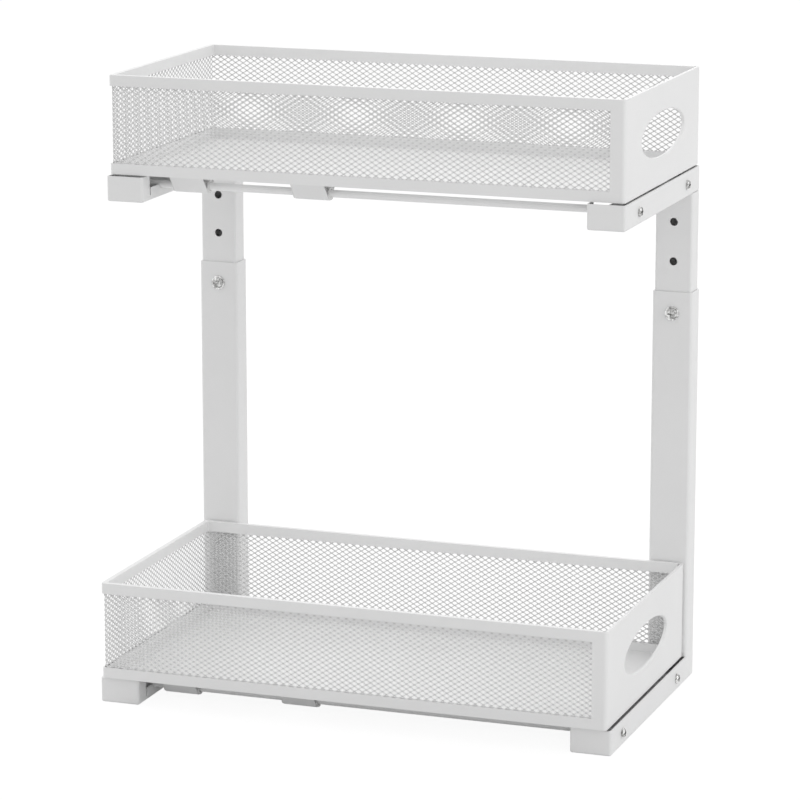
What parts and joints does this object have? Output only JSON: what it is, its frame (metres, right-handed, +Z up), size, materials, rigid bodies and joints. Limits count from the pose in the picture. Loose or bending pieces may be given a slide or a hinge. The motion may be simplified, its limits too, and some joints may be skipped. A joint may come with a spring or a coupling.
{
  "type": "two-tier under sink organizer",
  "caption": "Two-tier under sink organizer: mesh baskets that slide out sideways on rails, on a steel frame with telescopic rear posts that set the height.",
  "frame": {"origin": "centre of the footprint, on the surface that the organizer stands on", "axes": "+Z up; +Y from the open front to the side with the posts; +X the way both baskets pull out, towards the panels with the handle holes"},
  "size_m": [0.4304, 0.2396, 0.5012],
  "materials": {
    "frame_paint": "satin powder coat on folded steel sheet",
    "basket_paint": "satin powder coat on pressed steel sheet",
    "mesh_paint": "powder coat on expanded metal mesh",
    "rail_paint": "smooth semi-gloss coat on round bar",
    "screw_steel": "bright plated steel",
    "slider_plastic": "low friction moulded plastic"
  },
  "bodies": {
    "root": {"lower_left_arm": "frame_paint", "lower_right_arm": "frame_paint", "left_sleeve_post": "frame_paint", "right_sleeve_post": "frame_paint", "lower_front_rail": "rail_paint", "lower_back_rail": "rail_paint", "lower_rail_screws": "screw_steel", "lock_inserts": "screw_steel", "lock_screws": "screw_steel"},
    "upper_frame": {"upper_left_arm": "frame_paint", "upper_right_arm": "frame_paint", "left_inner_post": "frame_paint", "right_inner_post": "frame_paint", "upper_front_rail": "rail_paint", "upper_back_rail": "rail_paint", "upper_rail_screws": "screw_steel"},
    "lower_basket": {"lower_basket_pan": "basket_paint", "lower_basket_rim": "basket_paint", "lower_end_panel": "basket_paint", "lower_front_net": "mesh_paint", "lower_back_net": "mesh_paint", "lower_left_net": "mesh_paint", "lower_front_slider_1": "basket_paint", "lower_front_liner_1": "slider_plastic", "lower_front_slider_2": "basket_paint", "lower_front_liner_2": "slider_plastic", "lower_back_slider_1": "basket_paint", "lower_back_liner_1": "slider_plastic", "lower_back_slider_2": "basket_paint", "lower_back_liner_2": "slider_plastic"},
    "upper_basket": {"upper_basket_pan": "basket_paint", "upper_basket_rim": "basket_paint", "upper_end_panel": "basket_paint", "upper_front_net": "mesh_paint", "upper_back_net": "mesh_paint", "upper_left_net": "mesh_paint", "upper_front_slider_1": "basket_paint", "upper_front_liner_1": "slider_plastic", "upper_front_slider_2": "basket_paint", "upper_front_liner_2": "slider_plastic", "upper_back_slider_1": "basket_paint", "upper_back_liner_1": "slider_plastic", "upper_back_slider_2": "basket_paint", "upper_back_liner_2": "slider_plastic"}
  },
  "joints": [
    {"name": "height_adjust", "type": "slide", "parent": "root", "child": "upper_frame", "axis": [0, 0, 1], "range_m": [-0.074, 0.064]},
    {"name": "upper_basket_slide", "type": "slide", "parent": "upper_frame", "child": "upper_basket", "axis": [1, 0, 0], "range_m": [-0.0113, 0.2179]},
    {"name": "lower_basket_slide", "type": "slide", "parent": "root", "child": "lower_basket", "axis": [1, 0, 0], "range_m": [-0.01, 0.2166]}
  ]
}
